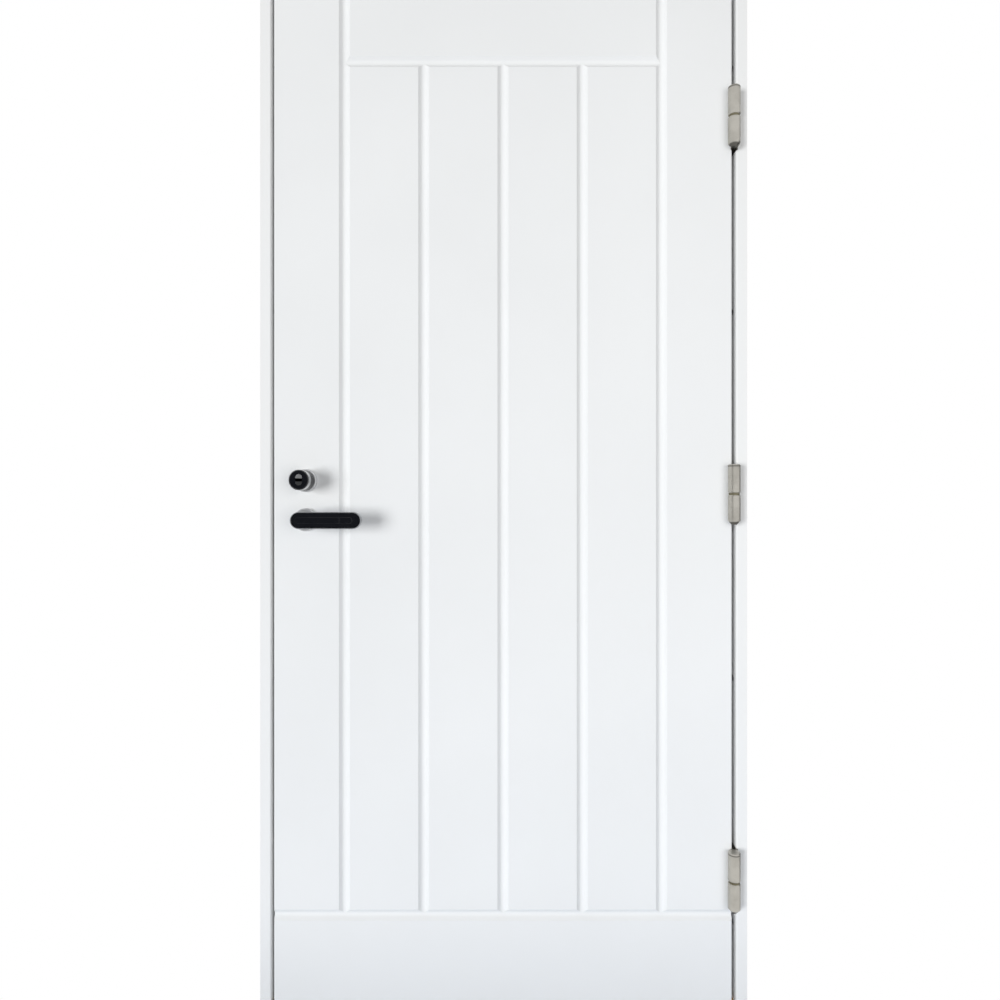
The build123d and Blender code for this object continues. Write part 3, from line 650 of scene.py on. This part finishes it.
# %% Grub screws
NECK_RADIUS = 10 * MM
GRUB_INSET = 14 * MM
GRUB_SINK = 0.3 * MM
outer_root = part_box("outer_lever")[1].y
inner_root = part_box("inner_lever")[0].y
spindle_low, spindle_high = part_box("lever_spindle")
spindle_x = (spindle_low.x + spindle_high.x) / 2
spindle_z = (spindle_low.z + spindle_high.z) / 2
grub_z = spindle_z - NECK_RADIUS + GRUB_SINK
grub_places = [
    (Vector((spindle_x, y, grub_z)), (0, 0, -1)) for y in (outer_root - GRUB_INSET, inner_root + GRUB_INSET)
]
grub_screws = stamp(star_screw(2 * MM, 0.5 * MM), grub_places)
make_piece("lever_grub_screws", grub_screws, zinc, "lever_set")

# %% [markdown]
# ## The pads on the lever's face
# Along the black face runs a low pad, split by a hairline seam, whose upper edge catches the light. A circle
# pulled apart into a round-ended bar gives its outline; extruding and bevelling give its height; a cutting
# plane on either side of the seam leaves two pads.

# %% Model the two pads
PAD_HEIGHT = 0.45 * MM
PAD_RADIUS = 6 * MM
PAD_CHAMFER = 0.35 * MM
HALF_SEAM = 0.4 * MM
face_low, face_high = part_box("outer_lever_face")


def pad(start, end, radius, cut, keep_right):
    """A round-ended low bar on the lever's face, cut square at one end."""
    bar = bmesh.new()
    bmesh.ops.create_circle(bar, cap_ends=True, segments=32, radius=radius)
    bmesh.ops.rotate(bar, matrix=Matrix.Rotation(pi / 32, 3, "Z"), verts=bar.verts[:])
    right_end = [v for v in bar.verts if v.co.x > 0]
    bmesh.ops.translate(bar, vec=(end - start - 2 * radius, 0, 0), verts=right_end)
    grown = bmesh.ops.extrude_face_region(bar, geom=bar.faces[:])
    raised = [v for v in grown["geom"] if isinstance(v, bmesh.types.BMVert)]
    bmesh.ops.translate(bar, vec=(0, 0, PAD_HEIGHT), verts=raised)
    stand = Matrix.Translation((start + radius, face_low.y, spindle_z)) @ Matrix.Rotation(pi / 2, 4, "X")
    bmesh.ops.transform(bar, matrix=stand, verts=bar.verts[:])
    sliced = bmesh.ops.bisect_plane(
        bar, geom=bar.verts[:] + bar.edges[:] + bar.faces[:], plane_co=(cut, 0, 0), plane_no=(1, 0, 0),
        clear_outer=not keep_right, clear_inner=keep_right,
    )
    open_edges = [e for e in sliced["geom_cut"] if isinstance(e, bmesh.types.BMEdge)]
    bmesh.ops.edgenet_fill(bar, edges=open_edges)
    front = [e for e in bar.edges if all(v.co.y < face_low.y - PAD_HEIGHT / 2 for v in e.verts)]
    bmesh.ops.bevel(
        bar, geom=front, offset=PAD_CHAMFER, affect="EDGES", segments=1, profile=0.5, material=-1
    )
    return bar


pad_start, pad_end = face_low.x + 7 * MM, face_high.x - 15 * MM
seam = spindle_x + 79.8 * MM
long_pad = pad(pad_start, pad_end, PAD_RADIUS, seam - HALF_SEAM, False)
short_pad = pad(pad_start, pad_end, PAD_RADIUS, seam + HALF_SEAM, True)
make_piece("lever_long_pad", long_pad, black, "lever_set")
make_piece("lever_short_pad", short_pad, black, "lever_set")

# %% [markdown]
# ## Floor and background
# A white background must not come from more light on the door. So the world is white only to the camera and
# to mirror-like rays, and gives a softer light to everything else. A pale floor throws some of it back up on
# to the door; it is hidden from the camera, because the door is shown on plain white.

# %% White for the camera, soft light for the door
AMBIENT = 0.225
world = bpy.data.worlds.new("pale_studio")
world.use_nodes = True
bpy.context.scene.world = world
sky = world.node_tree
ray = add_node(sky, "LightPath", {})
seen = add_node(
    sky, "Math", {0: ray.outputs["Is Camera Ray"], 1: ray.outputs["Is Glossy Ray"]}, operation="MAXIMUM"
)
seen = add_node(sky, "Math", {0: seen, 1: ray.outputs["Is Transmission Ray"]}, operation="MAXIMUM")
strength = add_node(sky, "MapRange", {"Value": seen, "To Min": AMBIENT, "To Max": 1.0})
wire(sky, sky.nodes["Background"], {"Color": (1, 1, 1, 1), "Strength": strength})

floor_shape = bmesh.new()
bmesh.ops.create_grid(floor_shape, x_segments=4, y_segments=4, size=1)
bmesh.ops.scale(floor_shape, vec=(1.6, 1.0, 1), verts=floor_shape.verts[:])
bmesh.ops.translate(floor_shape, vec=(0, -0.5, -1 * MM), verts=floor_shape.verts[:])
floor_mesh = bpy.data.meshes.new("studio_floor")
floor_shape.to_mesh(floor_mesh)
floor_shape.free()
floor = bpy.data.objects.new("studio_floor", floor_mesh)
floor.visible_camera = False
floor.visible_glossy = False
bpy.context.scene.collection.objects.link(floor)

floor_paint, tree, shader, _ = new_finish("matt_floor_paint")
wire(tree, shader, {"Base Color": colour("#A9B8CE"), "Roughness": 0.9})
floor_mesh.materials.append(floor_paint)
print("studio stands")

# %% [markdown]
# ## Lamps
# In the picture the upright grooves are dark on their left and bright on their right wall, and the lever's
# shadow falls to the right at its own height. So the main lamp stands to the left, level with the lever: far
# off, so that the whole leaf gets the same light, and broad, so that the shadow is soft. A weaker one in front
# lifts the far side, a third behind the door lights its back in the same way, and a small one above lights the
# top of the frame. Metal shows the white room instead of the lamps, so that the three hinges look alike.

# %% Main lamp, fill, and the lamps behind and above
def lamp(name, place, aim, size, power, tint):
    """A square soft box that points at a target."""
    data = bpy.data.lights.new(name, "AREA")
    data.size = size
    data.energy = power
    data.color = colour(tint)[:3]
    made = bpy.data.objects.new(name, data)
    made.location = place
    made.rotation_euler = (Vector(aim) - Vector(place)).to_track_quat("-Z", "Y").to_euler()
    made.visible_glossy = False
    bpy.context.scene.collection.objects.link(made)


lamp("window_side", (-6.32, -7.16, 1.02), (-0.2, 0, 1.02), 4.0, 635, "#FDFEFF")
lamp("front_fill", (1.3, -2.6, 1.05), (0.3, 0, 1.05), 2.0, 28, "#FFFEFC")
lamp("window_behind", (2.9, 3.4, 1.3), (0.1, 0, 1.05), 2.0, 120, "#FDFEFF")
lamp("skylight", (0, 0.7, 3.9), (0, 0.1, 2.0), 1.2, 24, "#FDFEFF")
print("four lamps")

# %% [markdown]
# ## Dark cards for the reflections
# Polished black shows whatever stands opposite it, and a white room would turn it grey. Photographers hang
# dark cloth where the reflection falls. These cards are seen only by reflected rays: they cast no shadow,
# take no light from the paint and never show in the picture.

# %% Hang two dark cards
cloth, tree, shader, _ = new_finish("dark_cloth")
wire(tree, shader, {"Base Color": colour("#1C1C1D"), "Roughness": 1.0, "Specular IOR Level": 0.0})


def dark_card(name, middle, aim, half_width, half_height):
    """A card that faces a target and shows only in reflections."""
    card = bmesh.new()
    bmesh.ops.create_grid(card, x_segments=2, y_segments=2, size=1)
    bmesh.ops.scale(card, vec=(half_width, half_height, 1), verts=card.verts[:])
    facing = (Vector(aim) - Vector(middle)).to_track_quat("Z", "Y").to_matrix().to_4x4()
    bmesh.ops.transform(card, matrix=Matrix.Translation(middle) @ facing, verts=card.verts[:])
    mesh = bpy.data.meshes.new(name)
    card.to_mesh(mesh)
    card.free()
    mesh.materials.append(cloth)
    made = bpy.data.objects.new(name, mesh)
    made.visible_camera = False
    made.visible_diffuse = False
    made.visible_shadow = False
    made.visible_transmission = False
    bpy.context.scene.collection.objects.link(made)


dark_card("card_before_lever", (-0.58, -0.9, 1.02), (-0.37, 0, 1.02), 0.3, 0.35)
dark_card("card_at_right", (1.5, 0.62, 1.0), (0.46, 0.62, 1.0), 0.6, 1.4)
print("two cards")

# %% [markdown]
# ## Camera
# The picture was taken straight on, a little left of the middle and at half height. Its distance is taken to
# be 1.35 m, where a common wide lens sees this much of a door. Verticals stay upright, so the camera is level
# and needs no shift.

# %% Place the camera
DISTANCE = 1.35
EYE_HEIGHT = 1032.4 * MM
EYE_OFFSET = -6 * MM
view = bpy.data.cameras.new("straight_on")
view.lens = 24.08
view.sensor_width = 36
camera = bpy.data.objects.new("straight_on", view)
camera.location = (leaf_mid_x + EYE_OFFSET, leaf_low.y - DISTANCE, EYE_HEIGHT)
camera.rotation_euler = (pi / 2, 0, 0)
bpy.context.scene.collection.objects.link(camera)
bpy.context.scene.camera = camera
bpy.context.scene.view_settings.view_transform = "Standard"
print("camera at", [round(c, 3) for c in camera.location])
